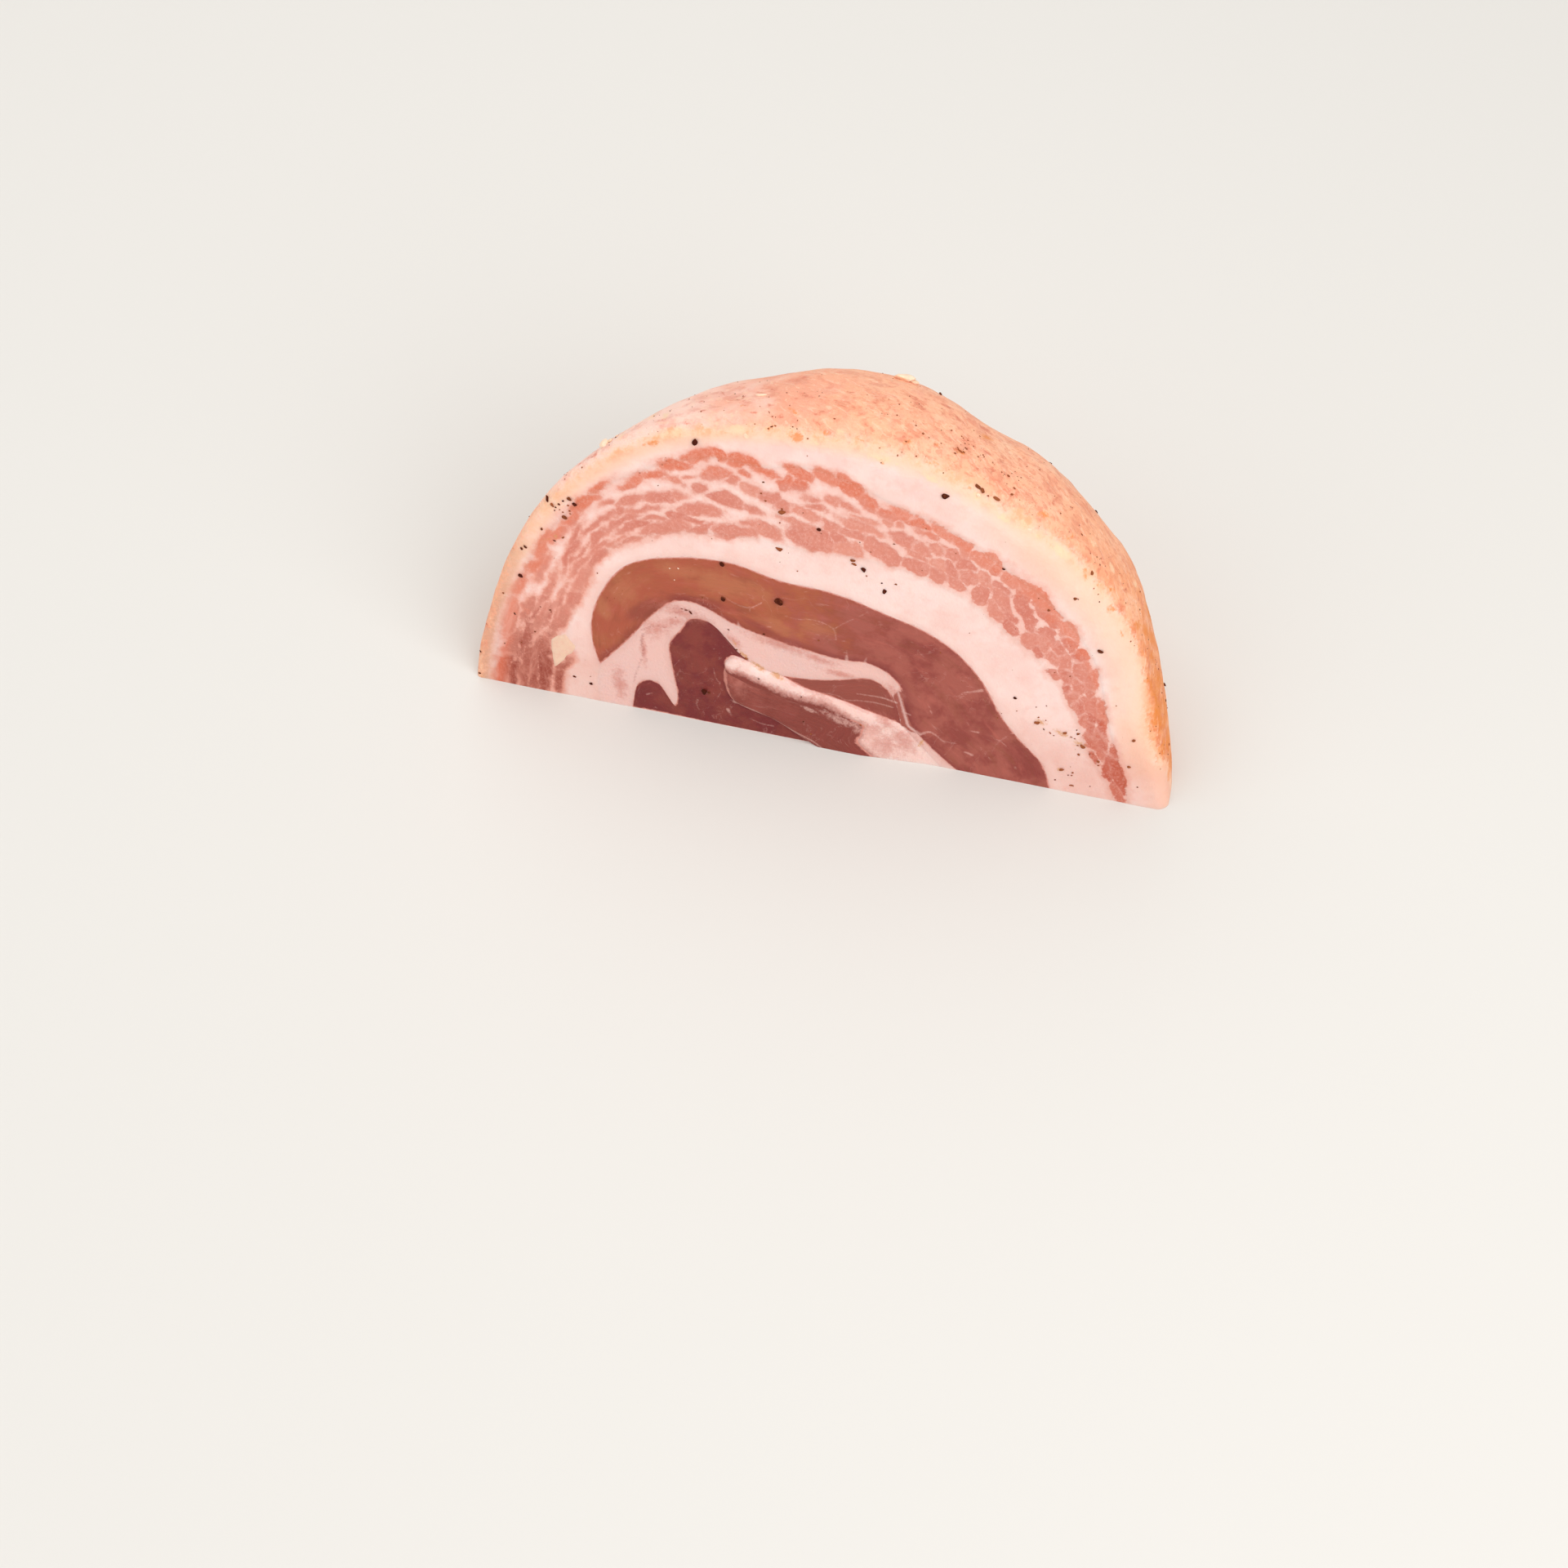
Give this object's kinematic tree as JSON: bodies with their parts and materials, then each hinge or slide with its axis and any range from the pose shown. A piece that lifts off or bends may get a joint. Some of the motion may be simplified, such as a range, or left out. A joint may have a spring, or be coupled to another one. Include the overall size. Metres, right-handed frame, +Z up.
{
  "type": "pancetta",
  "caption": "Half-round end piece of a rolled pancetta, with a spiral of fat and lean on the cut face and peppered fat outside.",
  "frame": {"origin": "middle of the flat base, under the centre of the piece's box", "axes": "+X to the right along the bottom edge of the cut face, +Y back into the piece, +Z up"},
  "size_m": [0.1504, 0.064, 0.0752],
  "materials": {
    "outer_fat": "moist satin fat with cracked pepper",
    "marbled_lean": "moist satin, streaked with fat",
    "white_fat": "moist satin",
    "tan_lean": "moist satin",
    "dark_lean": "moist satin"
  },
  "bodies": {
    "root": {"outer_fat": "outer_fat", "marbled_lean": "marbled_lean", "middle_fat": "white_fat", "inner_lean": "tan_lean", "inner_fat": "white_fat", "core_lean": "dark_lean", "lens_lean": "dark_lean", "flap_fat": "white_fat", "flap_lean": "tan_lean"}
  },
  "joints": []
}
